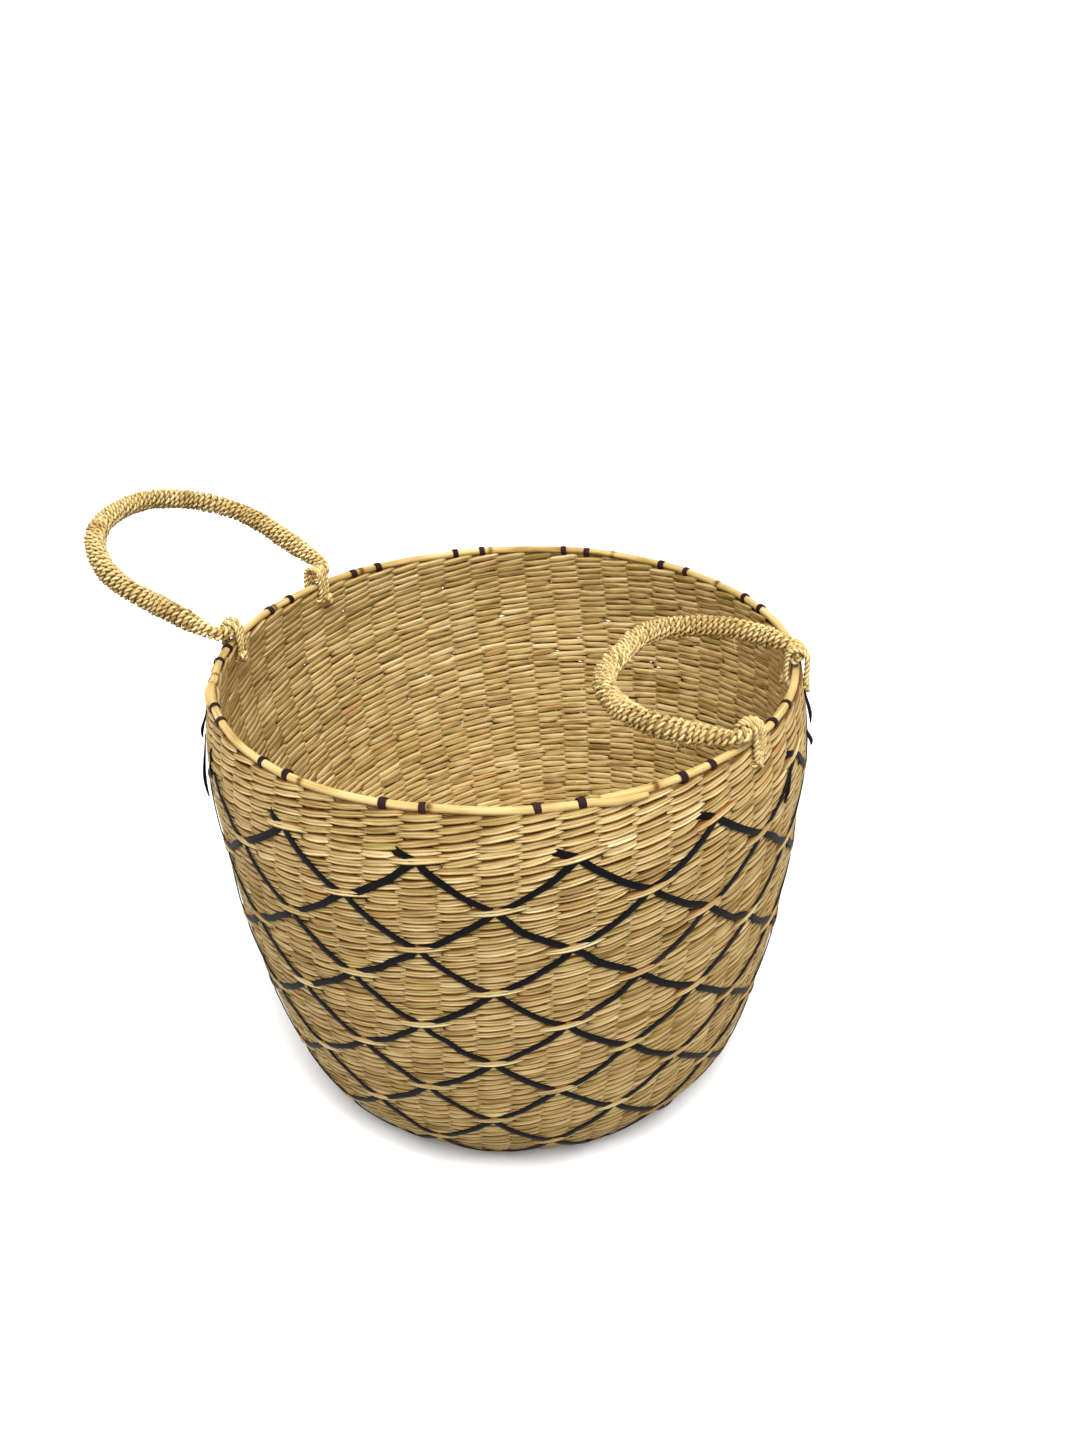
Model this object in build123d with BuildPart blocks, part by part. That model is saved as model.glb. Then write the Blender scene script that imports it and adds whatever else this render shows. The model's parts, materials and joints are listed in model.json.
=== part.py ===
from build123d import *
import math
import os

# Seagrass storage basket: a twined belly basket with a black strip lattice and two rope handles.
# Millimetres. Origin at the centre of the base on the floor, +Z up, handles on the X axis.

# --- driving dimensions -------------------------------------------------------------------------
reed_ring_radius = 186.0       # centre line of the rim reed
reed_height = 304.0            # height of that centre line
reed_radius = 2.6
wall_thickness = 8.5           # two weft strands with a warp stake between them
base_radius = 108.0            # the flat that the basket stands on
wall_top = reed_height - reed_radius

column_count = 56              # warp stakes around the basket
column_angle = 360.0 / column_count
handle_column = 12             # the stake under the middle of the +X handle
lattice_columns = 4            # stakes from one black strip to the next
lattice_lean = 6.4             # degrees that the lattice drifts from rim to floor
row_one_drop = 26.5            # rim to the first crossing, down the wall
row_pitch = 30.0               # crossing to crossing, down the wall
crossing_rows = 10

stake_width = 4.0
stake_thickness = 1.8
stake_depth = 3.4              # from the wall's outer face to the stake
stake_inner_radius = 44.0
stake_top_drop = 1.0           # a stake stops this far below the wall's top
base_gap = 0.1

strip_width = 4.8
strip_thickness = 0.6
strip_gap = 0.7                # wall to strip, and strip to crossing strip
strip_step = 10.0
tie_inner_drop = 13.0          # how far a tie runs down inside the rim

toe_radius = 4.0               # end of the handle core, lying along the rim
toe_clearance = 1.0
wrap_radius = 7.2
wrap_gap = 0.1
binding_radius = 5.6
binding_length = 5.0
wrap_start = 22.0              # hinge axis to the first turn of the wrap
toe_end = 46.0                 # from the handle's middle plane
toe_corner = 64.0
toe_bend = 9.0
shoulder = 78.0                # half width that the two legs aim for at the tip
left_reach = 136.0
left_tilt = 22.5               # above the horizontal, leaning out
left_tip_bend = 68.0
right_reach = 98.0
right_tilt = 3.5               # above the horizontal, leaning in over the opening
right_tip_bend = 55.0

lash_cord_radius = 1.4
lash_places = (48.6, 52.0, 55.4)
lash_half_width = 6.4
lash_drop = 22.0               # hinge axis to the lower end of a lashing turn

tie_thickness = strip_thickness + strip_gap
hinge_height = reed_height + reed_radius + tie_thickness + toe_clearance + toe_radius
hinge_offset = math.sqrt(reed_ring_radius ** 2 - lash_places[1] ** 2)

os.makedirs("parts", exist_ok=True)


def save(piece, name):
    """Labels a finished piece and writes its STEP file."""
    piece.label = name
    export_step(piece, "parts/" + name + ".step")


# --- outline: the belly curve from the edge of the base flat up to the rim ------------------------
with BuildLine() as outline_line:
    Spline(
        (base_radius, 0.0),
        (131.0, 3.4),
        (151.0, 17.5),
        (173.0, 69.0),
        (188.5, 152.0),
        (194.0, 215.0),
        (195.5, 262.0),
        (reed_ring_radius + wall_thickness / 2, wall_top),
    )
outline = outline_line.edge()
outline_length = outline.length


def outline_at(drop, depth):
    """(radius, height) at a distance down the wall from the rim, and a depth in from its outer face."""
    place = 1.0 - drop / outline_length
    point = outline.position_at(place)
    along = outline.tangent_at(place)
    return point.X - along.Y * depth, point.Y + along.X * depth


def layer(depth, top_drop=0.0, count=14):
    """Points of the outline moved inwards by depth, from the base up to top_drop below the rim."""
    span = outline_length - top_drop
    return [outline_at(outline_length - span * i / count, depth) for i in range(count + 1)]


def column_azimuth(column):
    """Degrees counterclockwise from +X of a stake, at the rim."""
    return (column - handle_column) * column_angle


# --- woven wall and base, and the warp stakes that the weave grips ---------------------------------
with BuildPart() as woven_wall:
    with BuildSketch(Plane.XZ):
        with BuildLine():
            outer = Spline(*layer(0.0))
            inner = Spline(*reversed(layer(wall_thickness)))
            Line(outer @ 1, inner @ 0)
            Line(inner @ 1, outer @ 0)
        make_face()
    revolve(axis=Axis.Z)
save(woven_wall.part, "woven_wall")

with BuildPart() as woven_base:
    with BuildSketch():
        Circle(base_radius - base_gap)
    extrude(amount=wall_thickness)
save(woven_base.part, "woven_base")

with BuildPart() as warp_stakes:
    with BuildSketch(Plane.XZ):
        with BuildLine():
            near = Spline(*layer(stake_depth, stake_top_drop))
            far = Spline(*reversed(layer(stake_depth + stake_thickness, stake_top_drop)))
            Line(near @ 1, far @ 0)
            foot = [(stake_inner_radius, (far @ 1).Y), (stake_inner_radius, (near @ 0).Y)]
            Polyline(far @ 1, *foot, near @ 0)
        make_face()
    extrude(amount=stake_width / 2, both=True)
    one_stake = warp_stakes.part
    add([one_stake.rotate(Axis.Z, i * column_angle) for i in range(1, column_count)])
save(warp_stakes.part, "warp_stakes")


# --- rim reed: two lengths of round stem that meet end to end -------------------------------------
def rim_reed(start, end):
    """A stem laid on the wall's top edge from one azimuth to another, in degrees."""
    with BuildPart() as reed:
        with BuildSketch(Plane.XZ.rotated((0, 0, start))):
            with Locations((reed_ring_radius, reed_height)):
                Circle(reed_radius)
        revolve(axis=Axis.Z, revolution_arc=end - start)
    return reed.part


save(rim_reed(-46.0, 216.6), "rim_reed_long")
save(rim_reed(216.8, 313.8), "rim_reed_short")


# --- black strips: each ties the reed to the wall, then runs down and round the basket ------------
def rim_wrap():
    """(radius, height) of a strip from inside the rim, over the reed, to the wall's outer face."""
    lift = strip_gap + strip_thickness / 2
    half_width = wall_thickness / 2 + lift
    rise = 2 * reed_radius + lift
    path = [(reed_ring_radius - half_width, wall_top - tie_inner_drop)]
    for angle in (180, 135, 90, 45, 0):
        turn = math.radians(angle)
        path.append((reed_ring_radius + half_width * math.cos(turn), wall_top + rise * math.sin(turn)))
    return path


def strip(apex, turn):
    """A strip from the rim at one apex of the lattice to the floor, turning right (1) or left (-1)."""
    lift = strip_gap + strip_thickness / 2
    if turn < 0:
        lift += strip_gap + strip_thickness
    top_column = apex - (1 if turn > 0 else 0)
    points = [(r, z, column_azimuth(top_column)) for r, z in rim_wrap()]
    last_drop = row_one_drop + row_pitch * (crossing_rows - 0.3)
    steps = round(last_drop / strip_step)
    for i in range(1, steps + 1):
        drop = last_drop * i / steps
        if drop < row_one_drop:
            column = top_column + (apex - top_column) * drop / row_one_drop
        else:
            column = apex + turn * 2 * (drop - row_one_drop) / row_pitch
        radius, height = outline_at(drop, -lift)
        lean = lattice_lean * drop / outline_length
        points.append((radius, height, column_azimuth(column) - lean))
    places = [
        Vector(r * math.cos(math.radians(a)), r * math.sin(math.radians(a)), z) for r, z, a in points
    ]
    with BuildPart() as band:
        for i, place in enumerate(places):
            before = places[max(i - 1, 0)]
            after = places[min(i + 1, len(places) - 1)]
            along = (after - before).normalized()
            azimuth = math.radians(points[i][2])
            sideways = Vector(-math.sin(azimuth), math.cos(azimuth), 0)
            across = (sideways - along * sideways.dot(along)).normalized()
            with BuildSketch(Plane(origin=place, x_dir=across, z_dir=along)):
                Rectangle(strip_width, strip_thickness)
        loft(ruled=True)
    return band.part


for i in range(column_count // lattice_columns):
    save(strip(i * lattice_columns, 1), f"strip_right_{i + 1:02d}")
    save(strip(i * lattice_columns, -1), f"strip_left_{i + 1:02d}")


# --- rope handles: a core whose two toes lie along the rim, a wound sleeve, and end bindings ------
def handle_plane(side, tilt):
    """Plane of a handle: x runs from the hinge axis towards -X and up by tilt, y along the axis."""
    reach = Vector(-math.cos(math.radians(tilt)), 0, math.sin(math.radians(tilt)))
    return Plane(
        origin=(side * hinge_offset, 0, hinge_height),
        x_dir=reach,
        z_dir=reach.cross(Vector(0, 1, 0)),
    )


def handle_parts(name, plane, reach, tip_bend):
    """The core, the wound sleeve and the two end bindings of one handle."""
    legs = [(0, toe_corner), (reach, shoulder), (reach, -shoulder), (0, -toe_corner)]
    slope = (shoulder - toe_corner) / reach

    def leg(distance, side):
        return (distance, side * (toe_corner + slope * distance))

    with BuildPart() as core:
        with BuildLine(plane) as core_path:
            bends = (toe_bend, tip_bend, tip_bend, toe_bend)
            FilletPolyline((0, toe_end), *legs, (0, -toe_end), radius=bends)
        with BuildSketch(Plane(core_path.line @ 0, z_dir=core_path.line % 0)):
            Circle(toe_radius)
        sweep()
    save(core.part, name + "_core")

    with BuildPart() as wrap:
        with BuildLine(plane) as wrap_path:
            FilletPolyline(leg(wrap_start, 1), *legs[1:3], leg(wrap_start, -1), radius=tip_bend)
        with BuildSketch(Plane(wrap_path.line @ 0, z_dir=wrap_path.line % 0)):
            Circle(wrap_radius)
            Circle(toe_radius + wrap_gap, mode=Mode.SUBTRACT)
        sweep()
    save(wrap.part, name + "_wrap")

    with BuildPart() as bindings:
        for side in (1, -1):
            with BuildLine(plane) as binding_path:
                Line(leg(wrap_start - binding_length, side), leg(wrap_start - wrap_gap, side))
            with BuildSketch(Plane(binding_path.line @ 0, z_dir=binding_path.line % 0)):
                Circle(binding_radius)
                Circle(toe_radius + wrap_gap, mode=Mode.SUBTRACT)
            sweep(path=binding_path.line)
    save(bindings.part, name + "_bindings")


def lashing(side, places):
    """Turns of cord round a handle's toe and through the wall under the rim."""
    low = hinge_height - lash_drop
    with BuildPart() as turns:
        for place in places:
            upright = Plane((side * hinge_offset, place, 0), x_dir=(1, 0, 0), z_dir=(0, -1, 0))
            with BuildLine(upright) as turn:
                Line((lash_half_width, low), (lash_half_width, hinge_height))
                CenterArc((0, hinge_height), lash_half_width, 0, 180)
                Line((-lash_half_width, hinge_height), (-lash_half_width, low))
                CenterArc((0, low), lash_half_width, 180, 180)
            start = (side * hinge_offset + lash_half_width, place, low)
            with BuildSketch(Plane(start, z_dir=(0, 0, 1))):
                Circle(lash_cord_radius)
            sweep(path=turn.wire())
    return turns.part


handle_parts("left_handle", handle_plane(-1, left_tilt), left_reach, left_tip_bend)
handle_parts("right_handle", handle_plane(1, right_tilt), right_reach, right_tip_bend)
for side, hand in ((-1, "left"), (1, "right")):
    save(lashing(side, lash_places), hand + "_lashing_back")
    save(lashing(side, [-place for place in lash_places]), hand + "_lashing_front")
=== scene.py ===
"""Seagrass storage basket: twined weave, black strip lattice, reed rim and two wound rope handles."""
import json
import math

import bmesh
import bpy
import numpy as np
from mathutils import Matrix, Vector


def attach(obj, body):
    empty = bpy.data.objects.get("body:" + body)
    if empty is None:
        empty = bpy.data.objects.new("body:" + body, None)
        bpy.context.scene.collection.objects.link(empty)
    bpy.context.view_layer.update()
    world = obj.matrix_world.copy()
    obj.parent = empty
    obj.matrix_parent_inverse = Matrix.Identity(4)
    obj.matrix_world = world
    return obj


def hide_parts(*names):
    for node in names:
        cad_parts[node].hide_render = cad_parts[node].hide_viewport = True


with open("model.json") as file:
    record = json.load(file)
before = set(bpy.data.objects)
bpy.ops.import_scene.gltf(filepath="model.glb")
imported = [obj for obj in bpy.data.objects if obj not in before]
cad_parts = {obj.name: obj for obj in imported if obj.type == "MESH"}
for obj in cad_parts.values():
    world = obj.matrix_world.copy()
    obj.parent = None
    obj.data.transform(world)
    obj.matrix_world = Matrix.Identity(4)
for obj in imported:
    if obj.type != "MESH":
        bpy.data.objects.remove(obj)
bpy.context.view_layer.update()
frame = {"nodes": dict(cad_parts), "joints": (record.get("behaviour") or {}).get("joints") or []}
rng = np.random.default_rng(7)

MM = 0.001

# --- driving sizes, millimetres and degrees -------------------------------------------------------
OUTLINE = [(108.0, 0.0), (131.0, 3.4), (151.0, 17.5), (173.0, 69.0),
           (188.5, 152.0), (194.0, 215.0), (195.5, 262.0), (190.25, 301.4)]
WALL = 8.5                     # thickness of the weave
COLUMNS = 56                   # warp stakes
COLUMN_ANGLE = 360.0 / COLUMNS
HANDLE_COLUMN = 12             # the stake at +X
LEAN = 6.4                     # the lattice's drift from rim to floor
ROW_PITCH = 5.0                # one twined row
ROWS_PER_CROSSING = 6
FIRST_CROSSING_ROW = 5
FIRST_ROW = 1.5                # rim to the middle of the first row
FIRST_CROSSING = FIRST_ROW + FIRST_CROSSING_ROW * ROW_PITCH
CROSSING_PITCH = ROWS_PER_CROSSING * ROW_PITCH
CROSSING_ROWS = 11
WALL_TOP = 301.4
REED_RING, REED_HEIGHT, REED_RADIUS = 186.0, 304.0, 2.6
STRIP_WIDTH, STRIP_THICKNESS = 4.8, 0.5
STAKES_PER_STRIP = 4


# --- outline of the basket ------------------------------------------------------------------------
def natural_spline(points, per_span=40):
    """Fine points of a natural cubic spline through a few points."""
    p = np.array(points, float)
    t = np.r_[0, np.cumsum(np.hypot(*np.diff(p, axis=0).T))]
    h = np.diff(t)
    bend = np.eye(len(t))
    pull = np.zeros((len(t), 2))
    for i in range(1, len(t) - 1):
        bend[i, i - 1:i + 2] = h[i - 1], 2 * (h[i - 1] + h[i]), h[i]
        pull[i] = 6 * ((p[i + 1] - p[i]) / h[i] - (p[i] - p[i - 1]) / h[i - 1])
    m = np.linalg.solve(bend, pull)
    fine = []
    for i in range(len(h)):
        for s in np.arange(per_span) / per_span * h[i]:
            r = h[i] - s
            curved = (m[i] * r ** 3 + m[i + 1] * s ** 3) / (6 * h[i])
            from_start = (p[i] / h[i] - m[i] * h[i] / 6) * r
            from_end = (p[i + 1] / h[i] - m[i + 1] * h[i] / 6) * s
            fine.append(curved + from_start + from_end)
    return np.array(fine + [p[-1]])


curve = natural_spline(OUTLINE)[::-1]                      # from the rim down to the base's edge
curve_drop = np.r_[0, np.cumsum(np.hypot(*np.diff(curve, axis=0).T))]
WALL_LENGTH = float(curve_drop[-1])
slope = np.gradient(curve, curve_drop, axis=0)


def surface(drop, out, azimuth):
    """Points at a drop down the wall (then in along the base), a height out of its face, an azimuth."""
    drop, out, azimuth = np.broadcast_arrays(np.asarray(drop, float), out, azimuth)
    inward = np.maximum(drop - WALL_LENGTH, 0)
    r = np.interp(drop, curve_drop, curve[:, 0]) - inward
    z = np.interp(drop, curve_drop, curve[:, 1])
    flat = np.clip(inward / 4, 0, 1)
    tr = np.interp(drop, curve_drop, slope[:, 0]) * (1 - flat) - flat
    tz = np.interp(drop, curve_drop, slope[:, 1]) * (1 - flat)
    size = np.hypot(tr, tz)
    a = np.radians(azimuth)
    r = r - tz / size * out
    return np.stack([r * np.cos(a), r * np.sin(a), z + tr / size * out], -1)


def outwards(drop, azimuth):
    """Unit normals of the basket's face."""
    return surface(drop, 1.0, azimuth) - surface(drop, 0.0, azimuth)


def azimuth_of(column, drop=0.0):
    """Degrees counterclockwise from +X of a column, with the lattice's drift down the wall."""
    drift = LEAN * np.minimum(drop, WALL_LENGTH) / WALL_LENGTH
    return (np.asarray(column, float) - HANDLE_COLUMN) * COLUMN_ANGLE - drift


# --- makers ---------------------------------------------------------------------------------------
def unit(v):
    """Vectors scaled to a length of one."""
    return v / np.maximum(np.linalg.norm(v, axis=-1, keepdims=True), 1e-9)


def square_to(along, v):
    """Unit vectors: the part of each v that is square to along."""
    return unit(v - along * np.sum(v * along, -1, keepdims=True))


def run_along(path):
    """The length run at each point of a path."""
    return np.r_[0, np.cumsum(np.linalg.norm(np.diff(path, axis=0), axis=1))]


def evenly(path, step):
    """A path's points again, one every step."""
    run = run_along(path)
    even = np.arange(0, run[-1], step)
    return np.stack([np.interp(even, run, places) for places in path.T], -1)


def link(name, mesh):
    """A mesh as an object of the scene."""
    obj = bpy.data.objects.new(name, mesh)
    bpy.context.scene.collection.objects.link(obj)
    return obj


def tube_mesh(count, sides):
    """A grid rolled into a closed tube, with the ring number and the side number of every vertex."""
    bm = bmesh.new()
    bmesh.ops.create_grid(bm, x_segments=count - 1, y_segments=sides, size=1.0)
    for v in bm.verts:
        ring = round((v.co.x + 1) / 2 * (count - 1))
        turn = 2 * math.pi * round((v.co.y + 1) / 2 * sides) / sides
        v.co = (ring, math.cos(turn), math.sin(turn))
    bmesh.ops.remove_doubles(bm, verts=bm.verts, dist=1e-4)
    bmesh.ops.holes_fill(bm, edges=[e for e in bm.edges if e.is_boundary], sides=sides)
    bmesh.ops.recalc_face_normals(bm, faces=bm.faces)
    mesh = bpy.data.meshes.new("tube")
    bm.to_mesh(mesh)
    bm.free()
    co = np.zeros(len(mesh.vertices) * 3)
    mesh.vertices.foreach_get("co", co)
    co = co.reshape(-1, 3)
    ring = np.round(co[:, 0]).astype(int)
    side = np.round(np.arctan2(co[:, 2], co[:, 1]) / (2 * math.pi) * sides).astype(int) % sides
    return mesh, ring, side


GRAIN_SPREAD = 5000            # strands start at different places in the grain, up to this far apart
GRAIN_RADIUS = 3               # how far the grain changes round a strand


def sweep(name, strands, section):
    """Joins strands as one mesh. A strand is (path, across, up, size, tone): a path of n points, the
    section's two directions there, its two sizes there, and a colour there. Section is in millimetres.

    Every vertex keeps "strand", its place along and around the strand, and "tone"."""
    section = np.array(section, float)
    templates = {}
    bm = bmesh.new()
    places, grain, tones = [], [], []
    for path, across, up, size, tone in strands:
        if len(path) not in templates:
            templates[len(path)] = tube_mesh(len(path), len(section))
        mesh, ring, side = templates[len(path)]
        bm.from_mesh(mesh)
        scaled = section[side] * size[ring]
        places.append(path[ring] + across[ring] * scaled[:, :1] + up[ring] * scaled[:, 1:])
        turn = 2 * math.pi * side / len(section)
        along = run_along(path)[ring] + rng.uniform(0, GRAIN_SPREAD)
        grain.append(np.stack([along, GRAIN_RADIUS * np.cos(turn), GRAIN_RADIUS * np.sin(turn)], -1))
        tones.append(np.c_[tone[ring], np.ones(len(ring))])
    mesh = bpy.data.meshes.new(name)
    bm.to_mesh(mesh)
    bm.free()
    mesh.vertices.foreach_set("co", (np.concatenate(places) * MM).ravel())
    strand = mesh.attributes.new("strand", "FLOAT_VECTOR", "POINT")
    strand.data.foreach_set("vector", np.concatenate(grain).ravel())
    tone = mesh.attributes.new("tone", "FLOAT_COLOR", "POINT")
    tone.data.foreach_set("color", np.concatenate(tones).ravel())
    mesh.polygons.foreach_set("use_smooth", [True] * len(mesh.polygons))
    mesh.update()
    for template, _, _ in templates.values():
        bpy.data.meshes.remove(template)
    return link(name, mesh)


def frames_on(path, normals):
    """Section directions of a strand lying on a surface: out of it, and across the strand in it."""
    along = unit(np.gradient(path, axis=0))
    out = square_to(along, normals)
    return out, np.cross(along, out)


def wander(n, step, size):
    """Slow random drift of n values, a new knot every step."""
    knots = rng.normal(0, size, int(n / step) + 3)
    return np.interp(np.arange(n) / step, np.arange(len(knots)), knots)


# --- twined rows ----------------------------------------------------------------------------------
PHASES = 8                     # points along one stitch
STITCH_HALF_HEIGHT = 2.6
STITCH_HALF_DEPTH = 2.15
RAISED_REACH = 0.22            # share of a column by which a raised stitch is longer at each end
RAISED_HEIGHT = 1.5            # how far a raised stitch stands out
ROWS_PER_BAND = 9
INNERMOST_ROW = 9.0            # radius where the base's rows stop
# two stalks side by side: an oval with a shallow groove outside and inside
STALKS = [(0.50, 0.02), (0.98, 0.32), (0.80, 0.78), (0.0, 1.0), (-0.80, 0.74),
          (-0.50, 0.0), (-0.84, -0.70), (0.0, -1.0), (0.78, -0.80), (1.0, -0.34)]
STITCH_SECTION = [(x * STITCH_HALF_DEPTH, y * STITCH_HALF_HEIGHT) for x, y in STALKS]


def crossing_columns(row):
    """The first column of a row where a stitch lies over two black strips, or None."""
    if row < FIRST_CROSSING_ROW or (row - FIRST_CROSSING_ROW) % ROWS_PER_CROSSING:
        return None
    crossing = (row - FIRST_CROSSING_ROW) // ROWS_PER_CROSSING
    if crossing >= CROSSING_ROWS:
        return None
    return 2 * (crossing % 2)


def stitch_tone(stitch, stitches, knots, drift, spread):
    """A tone at every point: a slow drift along the strand, and a step from stitch to stitch."""
    slow = wander(len(stitch), PHASES * knots, drift)
    return np.clip(0.5 + slow + rng.normal(0, spread, stitches)[stitch], 0, 1)


def twined_row(row, drop, columns, start):
    """The two strands of one row, with a longer raised stitch wherever black strips cross."""
    first = crossing_columns(row) if columns == COLUMNS else None
    over = np.zeros(columns + 2, bool)
    if first is not None:
        over[:] = (np.arange(columns + 2) + start - first) % STAKES_PER_STRIP == 0
    edges = np.arange(columns + 3) - 0.5
    edges[:-1] -= RAISED_REACH * over
    edges[1:] += RAISED_REACH * over
    width = rng.uniform(0.93, 1.13, columns + 2) + (0.12 * ~over if first is not None else 0)
    slant = 1.7 * rng.uniform(0.6, 1.45, columns + 2) + 0.9 * over
    sag = rng.normal(0, 0.34, columns + 2)
    strands = []
    stitch = np.repeat(np.arange(columns + 1), PHASES)
    phase = np.tile(np.arange(PHASES) / PHASES, columns + 1)
    for strand in (0, 1):
        side = np.where((stitch + strand) % 2 == 0, 1.0, -1.0)
        overlap = np.where(phase > 0, 0.20 * np.cos(np.pi * phase), 0)
        column = edges[stitch] + (edges[stitch + 1] - edges[stitch]) * (phase - overlap)
        bulge = np.sin(np.pi * phase)
        raised = over[stitch] * bulge * (side > 0)
        sagging = np.interp(column, np.arange(columns + 2), sag)
        here = drop + side * np.cos(np.pi * phase) * slant[stitch] - raised * 0.3 + sagging
        out = -WALL / 2 + side * bulge ** 0.62 * (WALL / 2 - STITCH_HALF_DEPTH) + raised * RAISED_HEIGHT
        scale = COLUMNS / columns
        azimuth = azimuth_of((column + start) * scale, drop)
        path = surface(here, out, azimuth)
        across, up = frames_on(path, outwards(here, azimuth))
        narrow = 0.54 + 0.43 * bulge
        height = narrow * width[stitch] * (1 + 0.05 * raised)
        depth = 0.95 + 0.05 * bulge
        size = np.stack([depth, height], -1)
        shade = stitch_tone(stitch, columns + 2, 5, 0.07, 0.06)
        hue = stitch_tone(stitch, columns + 2, 7, 0.14, 0.09)
        # painted shade: the third tone value falls towards 0 at a stitch's tips, where it turns round the
        # stakes, and straw darkens the colour there
        painted_shade = bulge ** 0.7
        # painted highlight: raised stitches lighter along their bulge
        shade = np.where(raised > 0, np.clip(shade + 0.2 * bulge, 0, 1), shade)
        strands.append((path, across, up, size, np.stack([shade, hue, painted_shade], -1)))
    return strands


def columns_at(radius):
    """Columns in a row: fewer nearer the middle of the base, so that its stitches stay long enough."""
    if radius > 66:
        return COLUMNS
    return COLUMNS // 2 if radius > 30 else COLUMNS // 4


def woven_bands():
    """Every row from the rim to the middle of the base, in bands of ROWS_PER_BAND."""
    last = int((WALL_LENGTH + OUTLINE[0][0] - INNERMOST_ROW - FIRST_ROW) / ROW_PITCH)
    bands = {}
    for row in range(last + 1):
        drop = FIRST_ROW + row * ROW_PITCH
        columns = columns_at(OUTLINE[0][0] - max(drop - WALL_LENGTH, 0))
        start = int(rng.integers(columns // 2)) * 2 + row % 2
        bands.setdefault(row // ROWS_PER_BAND, []).extend(twined_row(row, drop, columns, start))
    return [sweep(f"woven_rows_{band + 1}", strands, STITCH_SECTION) for band, strands in bands.items()]


def base_centre():
    """The stalks that start the base, coiled to its middle."""
    turn = np.arange(0, 2 * math.pi * 2.4, 0.3)
    radius = 10.5 - 4.2 * turn / (2 * math.pi)
    path = np.stack([radius * np.cos(turn), radius * np.sin(turn), np.full(len(turn), WALL / 2)], -1)
    across, up = frames_on(path, np.broadcast_to([0.0, 0.0, -1.0], path.shape))
    size = np.stack([np.full(len(turn), 1.55), np.full(len(turn), 1.0)], -1)
    return path, across, up, size, np.repeat([[0.5, 0.5, 0.9]], len(turn), 0)


weave = woven_bands() + [sweep("base_centre_coil", [base_centre()], STITCH_SECTION)]
for piece in weave:
    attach(piece, "basket")
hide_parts("woven_wall", "woven_base")


# --- black strips ---------------------------------------------------------------------------------
# a domed band, one unit thick and one wide
BAND = [(0.5, 0.0), (0.42, 0.30), (0.05, 0.5), (-0.45, 0.44),
        (-0.5, 0.0), (-0.45, -0.44), (0.05, -0.5), (0.42, -0.30)]
THICKER, NARROWER = 1.6, 0.92  # shares of the flat strip's thickness and width, once woven in
STRIP_SECTION = [(x * STRIP_THICKNESS * THICKER, y * STRIP_WIDTH * NARROWER) for x, y in BAND]
RIGHT_OVER_LEFT = 0.25         # the strips that run down to the right lie this much further out


def strip_route(apex, turn):
    """(column, drop, height out of the face) along one strip, from behind the top rows to under the belly.

    A strip drops most steeply just past each crossing stitch and less so before the next one."""
    top = apex - (1 if turn > 0 else 0)
    route = [(top, 8.0, -4.6), (top, 16.0, -4.4), (top + 0.35 * (apex - top), 21.0, -2.2),
             (apex - 0.36 * turn, FIRST_CROSSING - 3.4, 0.4 if turn > 0 else -3.0)]
    for crossing in range(CROSSING_ROWS):
        column = apex + 2 * turn * crossing
        drop = FIRST_CROSSING + CROSSING_PITCH * crossing
        if drop + CROSSING_PITCH > WALL_LENGTH + 12:
            break
        route.append((column, drop + 0.4, -0.2))
        for t in (0.14, 0.35, 0.57, 0.8):
            route.append((column + turn * 2 * t, drop + CROSSING_PITCH * (1.34 * t - 0.34 * t * t), 0.5))
    return np.array(route)


def smooth_route(route, per_span=5):
    """A route with its corners rounded: Catmull-Rom through its points."""
    padded = np.vstack([2 * route[0] - route[1], route, 2 * route[-1] - route[-2]])
    t = (np.arange(per_span) / per_span)[:, None]
    spans = []
    for a, b, c, d in zip(padded, padded[1:], padded[2:], padded[3:]):
        square = (2 * a - 5 * b + 4 * c - d) * t ** 2
        cube = (3 * b - a - 3 * c + d) * t ** 3
        spans.append(0.5 * (2 * b + (c - a) * t + square + cube))
    return np.vstack(spans + [route[-1:]])


def strip_strand(apex, turn):
    """One strip on the wall."""
    route = strip_route(apex, turn)
    route[4:, 0] += rng.normal(0, 0.03, len(route) - 4)
    route[4:, 1] += rng.normal(0, 0.35, len(route) - 4)
    column, drop, out = smooth_route(route).T
    out = out + (RIGHT_OVER_LEFT if turn > 0 else 0)
    azimuth = azimuth_of(column, drop)
    path = surface(drop, out, azimuth)
    across, up = frames_on(path, outwards(drop, azimuth))
    width = 1 + wander(len(path), 9, 0.07)
    shade = np.clip(0.4 + wander(len(path), 7, 0.2), 0, 1)
    size = np.stack([np.ones(len(path)), width], -1)
    return path, across, up, size, np.stack([shade, shade, np.ones(len(path))], -1)


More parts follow.
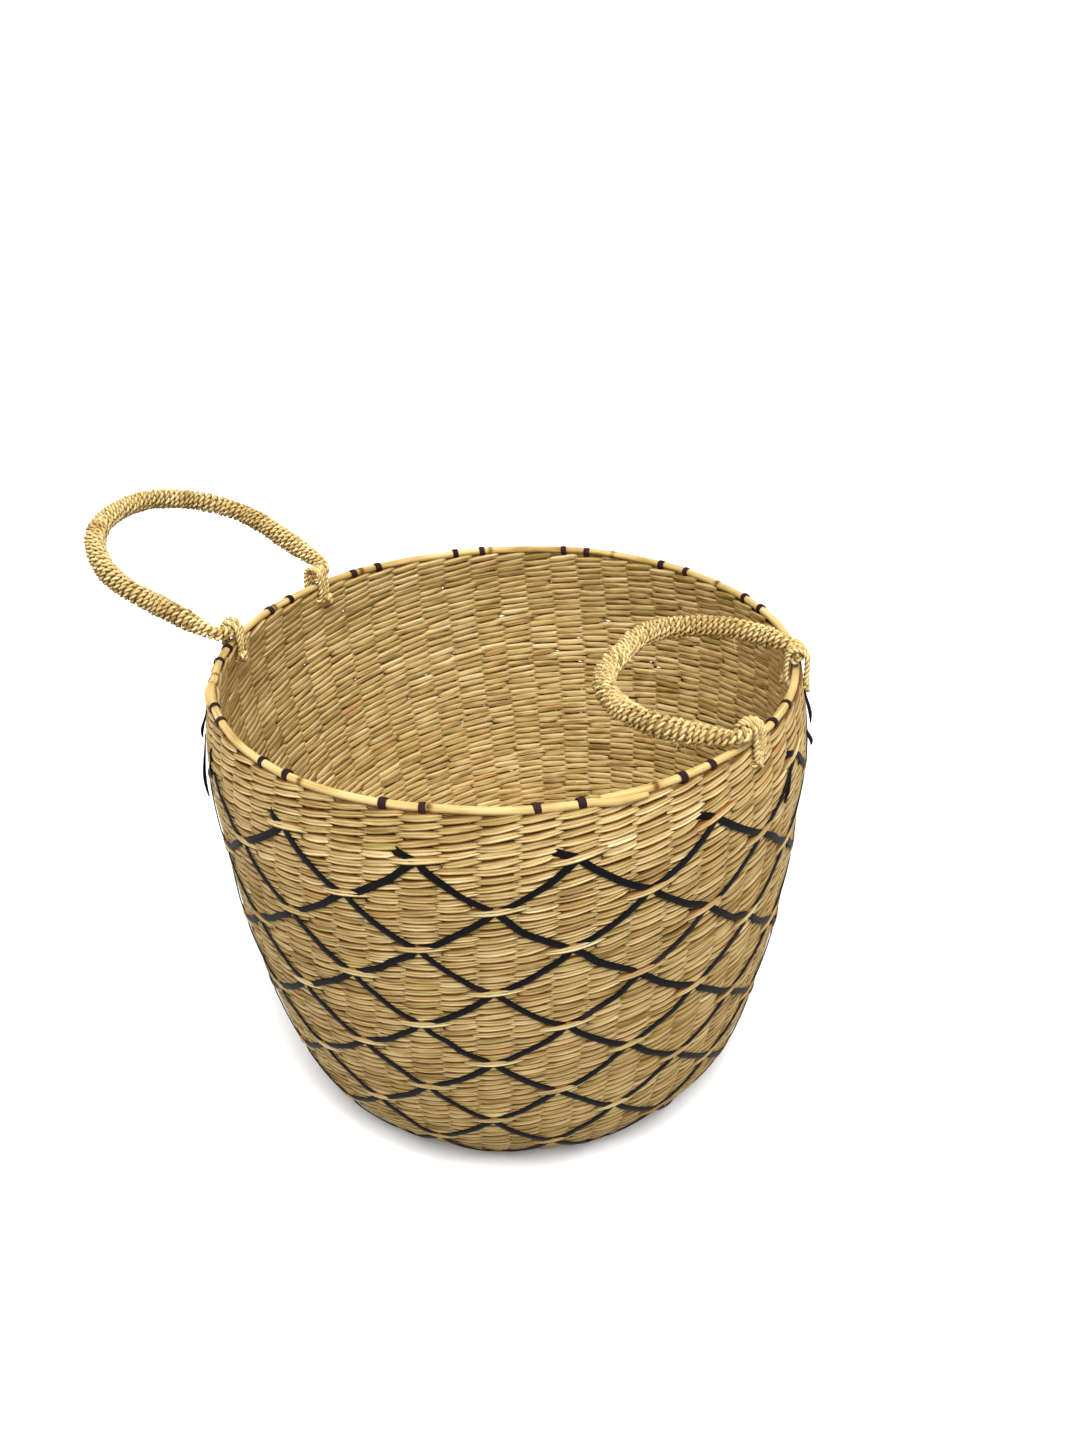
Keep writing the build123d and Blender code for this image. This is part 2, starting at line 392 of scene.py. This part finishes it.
def tie_strand(column):
    """The top of a strip where it is wrapped over the reed and tucked under the first row."""
    azimuth = math.radians(float(azimuth_of(column)) + rng.normal(0, 0.35))
    radial = np.array([math.cos(azimuth), math.sin(azimuth), 0])
    along_rim = np.array([-math.sin(azimuth), math.cos(azimuth), 0])
    half = REED_RADIUS + 0.4
    ring = [(half * math.cos(a), REED_HEIGHT + half * math.sin(a)) for a in np.radians(range(210, -31, -20))]
    inside = [(-1.4, WALL_TOP - 7.0), (-1.5, WALL_TOP - 3.0)]
    outside = [(1.7, WALL_TOP - 3.0), (1.5, WALL_TOP - 7.0)]
    route = smooth_route(np.array(inside + ring + outside), 3)
    slant = np.linspace(-1.0, 1.0, len(route)) * rng.uniform(0.4, 1.3)
    upright = np.array([0, 0, 1]) * route[:, 1:]
    path = radial * (REED_RING + route[:, :1]) + upright + along_rim * slant[:, None]
    along = unit(np.gradient(path, axis=0))
    across = np.cross(along, np.broadcast_to(along_rim, along.shape))
    up = np.cross(along, across)
    size = np.stack([np.ones(len(path)), np.full(len(path), rng.uniform(0.92, 1.12))], -1)
    shade = np.full(len(path), rng.uniform(0.75, 1.0))
    return path, unit(across), unit(up), size, np.stack([shade, shade, np.ones(len(path))], -1)


def loose_end(azimuth, drop, length, spring, drift):
    """A strip's end that has worked loose and hangs off the wall."""
    t = np.linspace(0, 1, 14)
    down = drop + length * t
    turn = azimuth + drift * t
    path = surface(down, 0.5 + spring * np.sin(1.9 * t) ** 2, turn)
    out, side = frames_on(path, outwards(down, turn))
    roll = 1.3 * t[:, None]
    across = out * np.cos(roll) + side * np.sin(roll)
    up = side * np.cos(roll) - out * np.sin(roll)
    size = np.stack([np.ones(14), np.interp(t, [0, 0.7, 1], [0.8, 0.6, 0.2])], -1)
    return path, across, up, size, np.repeat([[0.4, 0.4, 1.0]], 14, 0)


apexes = range(0, COLUMNS, STAKES_PER_STRIP)
# azimuth, drop, length, spring off the wall, drift in azimuth
LOOSE_ENDS = (
    (223.0, 2, 16, 2.6, 1.5),
    (221.5, 22, 46, 3.0, -1.0),
    (13.5, 8, 24, 2.0, 0.5),
    (11.5, 33, 12, 2.6, 1.0),
    (-3.0, 32, 17, 1.2, -4.0),
    (-131.0, 22, 9, 1.4, 3.0),
    (96.0, 30, 26, 2.2, 2.0),
    (141.0, 18, 15, 1.8, -2.0),
)
black = [
    sweep("strips_down_right", [strip_strand(apex, 1) for apex in apexes], STRIP_SECTION),
    sweep("strips_down_left", [strip_strand(apex, -1) for apex in apexes], STRIP_SECTION),
    sweep("rim_ties", [tie_strand(apex - step) for apex in apexes for step in (0, 1)], STRIP_SECTION),
    sweep("loose_strip_ends", [loose_end(*end) for end in LOOSE_ENDS], STRIP_SECTION),
]
for piece in black:
    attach(piece, "basket")
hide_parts(*[name for name in frame["nodes"] if name.startswith("strip_right")])
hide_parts(*[name for name in frame["nodes"] if name.startswith("strip_left")])


# --- rim reed -------------------------------------------------------------------------------------
ROUND = [(math.cos(math.radians(a)), math.sin(math.radians(a))) for a in range(0, 360, 36)]


def reed_strand(start, end):
    """A round stem along the rim. Its far end lies outside the next length, as a lap."""
    lap = 7.0
    azimuth = np.arange(start - 1.5, end + lap, 0.5)
    past = np.clip((azimuth - end + 3) / 4.0, 0, 1)
    ring = REED_RING + wander(len(azimuth), 40, 0.5) + 3.3 * past
    height = REED_HEIGHT + wander(len(azimuth), 24, 0.35) - 0.7 * past
    a = np.radians(azimuth)
    path = np.stack([ring * np.cos(a), ring * np.sin(a), height], -1)
    radial = np.stack([np.cos(a), np.sin(a), 0 * a], -1)
    across, up = frames_on(path, radial)
    joint = np.zeros(len(azimuth))
    place = start + rng.uniform(6, 20)
    while place < end:
        joint = np.maximum(joint, np.exp(-((azimuth - place) / 0.55) ** 2))
        place += rng.uniform(24, 44)
    taper = 1 - 0.35 * np.clip((azimuth - end - 2) / (lap - 2), 0, 1)
    size = ((1 + 0.16 * joint) * taper)[:, None] * np.ones((1, 2))
    shade = np.clip(0.72 + wander(len(azimuth), 25, 0.12) - 0.75 * joint, 0, 1)
    hue = np.clip(0.5 + wander(len(azimuth), 50, 0.12) + 0.2 * joint, 0, 1)
    return path, across, up, size, np.stack([shade, hue, np.ones(len(azimuth))], -1)


BETWEEN_JOINTS = 0.95          # share of REED_RADIUS between the reed's joints
REED_SECTION = [(x * REED_RADIUS * BETWEEN_JOINTS, y * REED_RADIUS * BETWEEN_JOINTS) for x, y in ROUND]
reeds = []
for name, start, end in (("rim_reed_long", -46.0, 216.6), ("rim_reed_short", 216.8, 313.8)):
    stem = sweep("stem_" + name, [reed_strand(start, end)], REED_SECTION)
    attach(stem, "basket")
    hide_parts(name)
    reeds.append(stem)


# --- rope handles ---------------------------------------------------------------------------------
LASH_PLACE = 52.0
HINGE_X = math.sqrt(REED_RING ** 2 - LASH_PLACE ** 2)
HINGE_Z = frame["joints"][0]["pos_m"][2] / MM
TOE_END, TOE_CORNER, TOE_BEND, SHOULDER = 46.0, 64.0, 9.0, 78.0
WRAP_RADIUS = 7.2
CORD_RADIUS = 1.9              # the wound cord, two plies
PLY_RADIUS = 1.08
WIND_PITCH = 3.9
CORD_TWIST = 8.0               # length of one full turn of the plies
SLIM_END, SLIM_SHOULDER = 2.3, 2.7     # radius under the cord at a rope's end, and 20 mm in
# side, tilt in degrees, reach and radius of the two far bends
HANDLES = {"left_handle": (-1, 22.5, 136.0, 68.0), "right_handle": (1, 3.5, 98.0, 55.0)}


def rounded(points, radii, step):
    """Points every step along straight runs joined by arcs."""
    points = [np.array(p, float) for p in points]
    out = [points[0]]
    for before, corner, after, radius in zip(points, points[1:], points[2:], radii):
        d0, d1 = unit(corner - before), unit(after - corner)
        turn = math.acos(float(np.clip(d0 @ d1, -1, 1)))
        reach = radius * math.tan(turn / 2)
        side = math.copysign(1, d0[0] * d1[1] - d0[1] * d1[0])
        start = corner - d0 * reach
        centre = start + side * radius * np.array([-d0[1], d0[0]])
        for i in range(25):
            a = side * turn * i / 24
            arm = start - centre
            swung_x = arm[0] * math.cos(a) - arm[1] * math.sin(a)
            swung_y = arm[0] * math.sin(a) + arm[1] * math.cos(a)
            out.append(centre + np.array([swung_x, swung_y]))
    out.append(points[-1])
    return evenly(np.array(out), step)


def handle_space(side, tilt):
    """Origin and axes of a handle: towards the tip, along the hinge, and out of its plane."""
    tilt = math.radians(tilt)
    reach = np.array([-math.cos(tilt), 0, math.sin(tilt)])
    hinge = np.array([0, 1.0, 0])
    return np.array([side * HINGE_X, 0, HINGE_Z]), reach, hinge, np.cross(reach, hinge)


def rope_path(side, tilt, reach, bend, step):
    """The rope's centre line in space, with its two section directions."""
    corners = [(0, TOE_END), (0, TOE_CORNER), (reach, SHOULDER)]
    corners += [(x, -y) for x, y in reversed(corners)]
    flat = rounded(corners, [TOE_BEND, bend, bend, TOE_BEND], step)
    origin, to_tip, hinge, normal = handle_space(side, tilt)
    wobble = wander(len(flat), 25 / step, 0.5)
    path = origin + flat[:, :1] * to_tip + flat[:, 1:] * hinge + wobble[:, None] * normal
    along = unit(np.gradient(path, axis=0))
    lift = unit(normal - along * (along @ normal)[:, None])
    return path, np.cross(along, lift), lift


def plies(path, across, lift, radius):
    """A cord of two plies wound as a helix round a path; radius may change along it."""
    step = float(np.linalg.norm(path[1] - path[0]))
    per_turn = 22
    count = int(len(path) * step / WIND_PITCH * per_turn)
    s = np.linspace(0, len(path) - 1.001, count)
    i = s.astype(int)
    f = (s - i)[:, None]

    def mix(a):
        """Values between the path's points."""
        return a[i] * (1 - f) + a[i + 1] * f

    centre, x, y = mix(path), unit(mix(across)), unit(mix(lift))
    wobble = np.cumsum(1 + wander(count, per_turn * 1.5, 0.13)) / per_turn * 2 * math.pi
    r = np.interp(s, np.arange(len(path)), radius) * (1 + wander(count, per_turn, 0.05))
    spoke = x * np.cos(wobble)[:, None] + y * np.sin(wobble)[:, None]
    cord = centre + spoke * r[:, None]
    along = unit(np.gradient(cord, axis=0))
    out = square_to(along, spoke)
    side = np.cross(along, out)
    run = run_along(cord)
    strands = []
    for ply in (0, 1):
        turn = run / CORD_TWIST * 2 * math.pi + ply * math.pi
        offset = out * np.cos(turn)[:, None] + side * np.sin(turn)[:, None]
        place = cord + offset * PLY_RADIUS * 0.85
        heading = unit(np.gradient(place, axis=0))
        facing = square_to(heading, offset)
        tone = np.clip(0.55 + wander(count, per_turn * 3, 0.16), 0, 1)
        hue = np.clip(0.5 + wander(count, per_turn * 6, 0.07), 0, 1)
        # painted shade: a ply is darker where it lies on the inner side of the cord, against the core
        painted_ply_shade = np.clip(0.72 + 0.5 * np.cos(turn), 0.25, 1)
        size = np.full((count, 2), PLY_RADIUS) * (1 + wander(count, per_turn, 0.05))[:, None]
        tones = np.stack([tone, hue, painted_ply_shade], -1)
        strands.append((place, facing, np.cross(heading, facing), size, tones))
    return strands


HEXAGON = [(math.cos(math.radians(a)), math.sin(math.radians(a))) for a in range(0, 360, 60)]
ropes = []
for name, (side, tilt, reach, bend) in HANDLES.items():
    path, across, lift = rope_path(side, tilt, reach, bend, 1.0)
    from_end = np.minimum(np.arange(len(path)), np.arange(len(path))[::-1]).astype(float)
    radius = np.interp(from_end, [0, 20, 40], [SLIM_END, SLIM_SHOULDER, WRAP_RADIUS - CORD_RADIUS])
    core_size = np.repeat((radius / 1.06)[:, None], 2, 1) * 0.92
    # the third value darkens the whole core with painted shade, for the gaps between the wound plies
    tone = np.stack([np.full(len(path), 0.35), np.full(len(path), 0.5), np.full(len(path), 0.35)], -1)
    core = sweep(name + "_stalks", [(path, across, lift, core_size, tone)], ROUND)
    wound = sweep(name + "_wound_cord", plies(path, across, lift, radius + 0.35), HEXAGON)
    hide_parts(name + "_core")
    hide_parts(name + "_wrap", name + "_bindings")
    for piece, slot in ((core, "rope_core"), (wound, "rope_wrap")):
        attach(piece, name)
        ropes.append(piece)


# --- lashings that tie the handles to the rim -----------------------------------------------------
def lash_turn(side, place, drop, lean, swell):
    """One turn of cord round a handle's end and through the wall, as a closed path."""
    top, low, half = HINGE_Z, HINGE_Z - drop, 5.6 + swell
    path = [(half, low), (half + 0.4, (low + top) / 2), (half, top)]
    path += [(half * math.cos(a), top + half * math.sin(a)) for a in np.radians(range(30, 180, 30))]
    path += [(-half, top), (-half - 0.4, (low + top) / 2), (-half, low)]
    path += [(half * math.cos(a), low + half * 0.6 * math.sin(a)) for a in np.radians(range(210, 360, 30))]
    path.append(path[0])
    flat = smooth_route(np.array(path), 6)
    shift = lean * (flat[:, 1] - (low + top) / 2) / drop
    ring = math.sqrt(REED_RING ** 2 - place ** 2)
    belly = np.interp(flat[:, 1], [270, 301], [5.0, 0.0])
    space = np.stack([side * (ring + flat[:, 0] + belly * 0.9), place + shift, flat[:, 1]], -1)
    return evenly(space, 1.0)


LASH_TURNS = (46.2, 48.4, 50.6, 52.8, 49.6)
LASH_PLY_RADIUS = 0.95
LASH_TWIST = 7.0


def cord_plies(path):
    """A two-ply cord laid along a path."""
    step = float(np.linalg.norm(path[1] - path[0]))
    along = unit(np.gradient(path, axis=0))
    guide = np.array([0.31, 0.93, 0.2])
    across = unit(np.cross(along, guide))
    lift = np.cross(along, across)
    strands = []
    for ply in (0, 1):
        turn = np.arange(len(path)) * step / LASH_TWIST * 2 * math.pi + ply * math.pi
        offset = across * np.cos(turn)[:, None] + lift * np.sin(turn)[:, None]
        place = path + offset * LASH_PLY_RADIUS * 0.85
        heading = unit(np.gradient(place, axis=0))
        facing = square_to(heading, offset)
        tone = np.clip(0.6 + wander(len(path), 15, 0.14), 0, 1)
        hue = np.full(len(path), rng.uniform(0.35, 0.65))
        tones = np.stack([tone, hue, np.full(len(path), 0.8)], -1)
        size = np.full((len(path), 2), LASH_PLY_RADIUS)
        strands.append((place, facing, np.cross(heading, facing), size, tones))
    return strands


def knot(centre, axis_x, axis_z, size):
    """A small overhand knot with two short tails."""
    t = np.linspace(0.35, 2 * math.pi - 0.35, 60)
    loop = np.stack([np.sin(t) + 2 * np.sin(2 * t), np.cos(t) - 2 * np.cos(2 * t), -np.sin(3 * t)], -1)
    loop = loop * size / 3
    tail = loop[-1] + np.linspace(0, 1, 12)[1:, None] * np.array([0.6, -1.2, 0.2]) * size
    head = loop[0] + np.linspace(1, 0, 12)[:-1, None] * np.array([-0.9, -0.9, 0.3]) * size
    flat = np.vstack([head, loop, tail])
    side = np.cross(axis_z, axis_x)
    space = centre + flat[:, :1] * side + flat[:, 1:2] * axis_z + flat[:, 2:] * axis_x
    return evenly(space, 0.9)


lashings = []
for name, (side, *_) in HANDLES.items():
    hand = name.split("_")[0]
    for end, sign in (("back", 1), ("front", -1)):
        strands = []
        for turn_place in LASH_TURNS:
            place = sign * (turn_place + rng.normal(0, 0.4))
            drop = rng.uniform(15, 19)
            lean = rng.uniform(-2.5, 2.5)
            swell = rng.uniform(0, 0.9)
            strands += cord_plies(lash_turn(side, place, drop, lean, swell))
        inner = np.array([side * (HINGE_X - 7.4), sign * LASH_PLACE, WALL_TOP - 6.0])
        outer = np.array([side * (HINGE_X + 7.8), sign * (LASH_PLACE - 2), WALL_TOP - 8.0])
        up = np.array([0, 0, 1.0])
        strands += cord_plies(knot(inner, np.array([-side, 0, 0.0]), up, 3.0))
        strands += cord_plies(knot(outer, np.array([side, 0, 0.0]), up, 2.6))
        piece = sweep(f"{hand}_lashing_{end}_cords", strands, HEXAGON)
        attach(piece, "basket")
        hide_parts(f"{hand}_lashing_{end}")
        lashings.append(piece)


# --- frayed fibres on the ropes -------------------------------------------------------------------
def fibre(start, heading, length):
    """A fine fibre that springs away from a cord and curls over."""
    t = np.linspace(0, 1, 9)[:, None]
    curl = unit(np.cross(heading, rng.normal(0, 1, 3)))
    droop = np.array([0, 0, 1.0]) * length * 0.3 * t ** 2
    path = start + heading * length * t + curl * length * 0.45 * t ** 2 - droop
    along = unit(np.gradient(path, axis=0))
    across = unit(np.cross(along, curl))
    size = np.repeat(np.linspace(0.24, 0.1, 9)[:, None], 2, 1)
    return path, across, np.cross(along, across), size, np.repeat([[0.8, 0.5, 1.0]], 9, 0)


TRIANGLE = [(math.cos(math.radians(a)), math.sin(math.radians(a))) for a in (0, 120, 240)]
for name, (side, tilt, reach, bend) in HANDLES.items():
    path, across, lift = rope_path(side, tilt, reach, bend, 1.0)
    hairs = []
    for place in rng.uniform(38, len(path) - 38, 34):
        i = int(place)
        a = rng.uniform(0, 2 * math.pi)
        spoke = across[i] * math.cos(a) + lift[i] * math.sin(a)
        heading = unit(spoke + rng.normal(0, 0.7) * unit(path[i + 1] - path[i]))
        hairs.append(fibre(path[i] + spoke * (WRAP_RADIUS - 1.2), heading, rng.uniform(3, 9)))
    piece = sweep(name + "_frayed_fibres", hairs, TRIANGLE)
    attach(piece, name)
    ropes.append(piece)


# --- finishes -------------------------------------------------------------------------------------
def linear(hex_colour):
    """An sRGB hex colour as a linear one."""
    parts = [int(hex_colour[i:i + 2], 16) / 255 for i in (1, 3, 5)]
    return tuple(c / 12.92 if c <= 0.04045 else ((c + 0.055) / 1.055) ** 2.4 for c in parts) + (1.0,)


def finish(name):
    """A new node material: its tree and its shader."""
    material = bpy.data.materials.new(name)
    material.use_nodes = True
    return material, material.node_tree, material.node_tree.nodes["Principled BSDF"]


def add(tree, kind, links=None, **settings):
    """Adds a node, sets its properties and socket values, and links sockets to it."""
    node = tree.nodes.new(kind)
    for key, value in settings.items():
        if hasattr(node, key):
            setattr(node, key, value)
    for socket, value in (links or {}).items():
        target = node.inputs[socket]
        if isinstance(value, bpy.types.NodeSocket):
            tree.links.new(value, target)
        else:
            target.default_value = value
    return node


def ramp(tree, factor, stops):
    """A colour ramp with a stop at each (place, hex colour)."""
    node = add(tree, "ShaderNodeValToRGB", {"Fac": factor})
    while len(node.color_ramp.elements) < len(stops):
        node.color_ramp.elements.new(0.5)
    for element, (place, colour) in zip(node.color_ramp.elements, stops):
        element.position = place
        element.color = linear(colour)
    return node


def multiply(tree, colour, by):
    """One colour times another."""
    node = add(tree, "ShaderNodeMix", data_type="RGBA", blend_type="MULTIPLY")
    node.inputs[0].default_value = 1.0
    tree.links.new(colour, node.inputs[6])
    tree.links.new(by, node.inputs[7])
    return node.outputs[2]


def straw(name, shades, tints, painted_shade, rough=0.62, fibre_mm=0.35, bump_mm=0.25, gap_shade=None):
    """Dried seagrass stalk: matte, fibrous along its length, straw with green and brown stretches.

    Reads the strand's own coordinates, so the fibres follow every bend."""
    material, tree, shader = finish(name)
    strand = add(tree, "ShaderNodeAttribute", attribute_name="strand")
    tone = add(tree, "ShaderNodeAttribute", attribute_name="tone")
    channels = add(tree, "ShaderNodeSeparateColor", {"Color": tone.outputs["Color"]})
    fibre_space = add(tree, "ShaderNodeMapping", {
        "Vector": strand.outputs["Vector"], "Scale": (0.045, 1, 1)})
    fibres = add(tree, "ShaderNodeTexNoise", {
        "Vector": fibre_space.outputs["Vector"], "Scale": 1 / (fibre_mm * 3),
        "Detail": 3.0, "Roughness": 0.6})
    patch_space = add(tree, "ShaderNodeMapping", {
        "Vector": strand.outputs["Vector"], "Scale": (0.05, 0.12, 0.12)})
    patches = add(tree, "ShaderNodeTexNoise", {
        "Vector": patch_space.outputs["Vector"], "Scale": 1.0, "Detail": 2.0})
    streak = add(tree, "ShaderNodeMapRange", {
        "Value": fibres.outputs["Fac"], "From Min": 0.28, "From Max": 0.72, "To Min": -0.34, "To Max": 0.34})
    patch = add(tree, "ShaderNodeMapRange", {
        "Value": patches.outputs["Fac"], "From Min": 0.3, "From Max": 0.7, "To Min": -0.16, "To Max": 0.16})
    streaked = add(tree, "ShaderNodeMath", {
        0: channels.outputs["Red"], 1: streak.outputs["Result"]}, operation="ADD")
    shade = add(tree, "ShaderNodeMath", {
        0: streaked.outputs[0], 1: patch.outputs["Result"]}, operation="ADD")
    body = ramp(tree, shade.outputs[0], list(zip((0.0, 0.35, 0.65, 1.0), shades)))
    tint = ramp(tree, channels.outputs["Green"], [
        (0.12, tints[0]), (0.42, "#ffffff"), (0.62, "#ffffff"), (0.92, tints[1])])
    # painted shade: the tone's third value darkens the colour towards this shade colour, at stitch tips, on
    # the inner side of cord plies and on the rope cores
    dark = ramp(tree, channels.outputs["Blue"], [(0.0, painted_shade), (0.75, "#ffffff")])
    tinted = multiply(tree, body.outputs["Color"], tint.outputs["Color"])
    colour = multiply(tree, tinted, dark.outputs["Color"])
    # painted shade: darker towards the upper and lower edges of each stalk's section, standing in for the
    # shade in the gaps between the rows
    if gap_shade:
        around = add(tree, "ShaderNodeSeparateXYZ", {"Vector": strand.outputs["Vector"]})
        facing = add(tree, "ShaderNodeMath", {0: around.outputs["Y"]}, operation="ABSOLUTE")
        depth = add(tree, "ShaderNodeMapRange", {
            "Value": facing.outputs[0], "From Min": 0.9, "From Max": 2.1})
        painted_gap_shade = ramp(tree, depth.outputs["Result"], [(0.0, gap_shade), (1.0, "#ffffff")])
        colour = multiply(tree, colour, painted_gap_shade.outputs["Color"])
    tree.links.new(colour, shader.inputs["Base Color"])
    shader.inputs["Roughness"].default_value = rough
    shader.inputs["Specular IOR Level"].default_value = 0.125
    bump = add(tree, "ShaderNodeBump", {
        "Height": fibres.outputs["Fac"], "Distance": bump_mm * MM, "Strength": 0.8})
    tree.links.new(bump.outputs["Normal"], shader.inputs["Normal"])
    return material


def dyed(name):
    """Flat strip of dyed leaf: near black, satin, with fine ribs along its length."""
    material, tree, shader = finish(name)
    strand = add(tree, "ShaderNodeAttribute", attribute_name="strand")
    space = add(tree, "ShaderNodeMapping", {"Vector": strand.outputs["Vector"], "Scale": (0.03, 1, 1)})
    ribs = add(tree, "ShaderNodeTexNoise", {"Vector": space.outputs["Vector"], "Scale": 1.4, "Detail": 3.0})
    colour = ramp(tree, ribs.outputs["Fac"], [(0.25, "#030304"), (0.6, "#08070a"), (0.85, "#1d161b")])
    tone = add(tree, "ShaderNodeAttribute", attribute_name="tone")
    channels = add(tree, "ShaderNodeSeparateColor", {"Color": tone.outputs["Color"]})
    faded = add(tree, "ShaderNodeMapRange", {
        "Value": channels.outputs["Red"], "From Min": 0.6, "To Max": 0.75})
    mixed = add(tree, "ShaderNodeMix", data_type="RGBA")
    tree.links.new(faded.outputs["Result"], mixed.inputs[0])
    tree.links.new(colour.outputs["Color"], mixed.inputs[6])
    mixed.inputs[7].default_value = linear("#3d2429")
    tree.links.new(mixed.outputs[2], shader.inputs["Base Color"])
    gloss = add(tree, "ShaderNodeMapRange", {"Value": ribs.outputs["Fac"], "To Min": 0.5, "To Max": 0.75})
    tree.links.new(gloss.outputs["Result"], shader.inputs["Roughness"])
    shader.inputs["Specular IOR Level"].default_value = 0.07
    bump = add(tree, "ShaderNodeBump", {
        "Height": ribs.outputs["Fac"], "Distance": 0.3 * MM, "Strength": 0.8})
    tree.links.new(bump.outputs["Normal"], shader.inputs["Normal"])
    return material


def split_cane(name):
    """Split cane: matte brown, with its grain running up the stake."""
    material, tree, shader = finish(name)
    place = add(tree, "ShaderNodeTexCoord")
    space = add(tree, "ShaderNodeMapping", {"Vector": place.outputs["Object"], "Scale": (900, 900, 40)})
    grain = add(tree, "ShaderNodeTexNoise", {
        "Vector": space.outputs["Vector"], "Scale": 1.0, "Detail": 3.0})
    colour = ramp(tree, grain.outputs["Fac"], [(0.3, "#6b4f28"), (0.7, "#a9864c")])
    tree.links.new(colour.outputs["Color"], shader.inputs["Base Color"])
    shader.inputs["Roughness"].default_value = 0.6
    return material


TINTS = ("#dfe1c0", "#f0ddc8")
WEAVE_SHADES = ("#6f5730", "#b59961", "#d9be84", "#f2e0ac")
REED_SHADES = ("#5a4222", "#96793f", "#b99b5e", "#d2b77c")
CORD_SHADES = ("#725930", "#ba9c61", "#dcc286", "#f1e0aa")
dressed = (
    # the fourth colour of each straw finish is its painted shade; the seagrass's last colour is painted
    # shade between the rows
    (weave, straw("dried seagrass", WEAVE_SHADES, TINTS, "#6b4a24", gap_shade="#8f7250")),
    (reeds, straw("peeled reed", REED_SHADES, TINTS, "#8a6a3c", 0.42, 0.5, 0.1)),
    (ropes + lashings, straw("twisted seagrass cord", CORD_SHADES, TINTS, "#6e4c24", 0.66, 0.3, 0.2)),
    (black, dyed("dyed leaf strip")),
)
for pieces, material in dressed:
    for piece in pieces:
        piece.data.materials.append(material)
stakes = frame["nodes"]["warp_stakes"]
stakes.data.materials.clear()
stakes.data.materials.append(split_cane("split cane"))


# --- light, floor and camera ----------------------------------------------------------------------
FLOOR_HEIGHT = -0.0006         # metres, level with the lowest stitch
FLOOR_RADIUS = 40.0


def area_light(name, place, aim, size, watts):
    """A round white light that faces a point."""
    data = bpy.data.lights.new(name, "AREA")
    data.shape = "DISK"
    data.size = size
    data.energy = watts
    obj = bpy.data.objects.new(name, data)
    bpy.context.scene.collection.objects.link(obj)
    obj.location = place
    obj.rotation_euler = (Vector(aim) - Vector(place)).to_track_quat("-Z", "Y").to_euler()


def studio():
    """A pale floor, a surround that is white above the horizon, and two soft lights."""
    bm = bmesh.new()
    bmesh.ops.create_circle(bm, cap_ends=True, segments=64, radius=FLOOR_RADIUS)
    mesh = bpy.data.meshes.new("studio_floor")
    bm.to_mesh(mesh)
    bm.free()
    floor = link("studio_floor", mesh)
    floor.location.z = FLOOR_HEIGHT
    floor.visible_diffuse = False
    paint = bpy.data.materials.new("floor_paint")
    paint.use_nodes = True
    shader = paint.node_tree.nodes["Principled BSDF"]
    shader.inputs["Base Color"].default_value = (0.9, 0.9, 0.9, 1)
    shader.inputs["Roughness"].default_value = 0.9
    mesh.materials.append(paint)
    world = bpy.data.worlds.new("surround")
    world.use_nodes = True
    tree = world.node_tree
    place = add(tree, "ShaderNodeTexCoord")
    split = add(tree, "ShaderNodeSeparateXYZ", {"Vector": place.outputs["Generated"]})
    height = add(tree, "ShaderNodeMapRange", {
        "Value": split.outputs["Z"], "From Min": -0.25, "From Max": -0.02})
    tones = ramp(tree, height.outputs["Result"], [(0.0, "#6f6a64"), (1.0, "#ffffff")])
    background = tree.nodes["Background"]
    tree.links.new(tones.outputs["Color"], background.inputs["Color"])
    background.inputs["Strength"].default_value = 1.0
    bpy.context.scene.world = world
    area_light("key", (0.5, -1.0, 2.6), (0, 0, 0.2), 0.4, 12)
    sky = bpy.data.lights.new("overhead", "SUN")
    sky.energy = 3.0
    sky.angle = math.radians(28)
    overhead = bpy.data.objects.new("overhead", sky)
    bpy.context.scene.collection.objects.link(overhead)
    overhead.rotation_euler = Vector((-0.5, 0.66, -1.45)).to_track_quat("-Z", "Y").to_euler()


def camera():
    """The viewpoint: in front of the basket, a little to its right, looking down into it."""
    data = bpy.data.cameras.new("camera")
    data.lens = 32.13
    data.sensor_width = 36.0
    data.clip_start = 0.05
    obj = bpy.data.objects.new("camera", data)
    bpy.context.scene.collection.objects.link(obj)
    azimuth, elevation, distance = math.radians(27.81), math.radians(25.9), 0.8357
    rim = Vector((0, 0, REED_HEIGHT * MM))
    level = math.cos(elevation)
    heading = Vector((math.sin(azimuth) * level, -math.cos(azimuth) * level, math.sin(elevation)))
    obj.location = rim + distance * heading
    aim = Vector((0.0193, 0.0095, 0.2548))
    obj.rotation_mode = "QUATERNION"
    look = (aim - obj.location).to_track_quat("-Z", "Y")
    obj.rotation_quaternion = look @ Matrix.Rotation(math.radians(-1.77), 3, "Z").to_quaternion()
    bpy.context.scene.camera = obj


studio()
camera()
bpy.context.scene.view_settings.view_transform = "Standard"
bpy.context.view_layer.update()
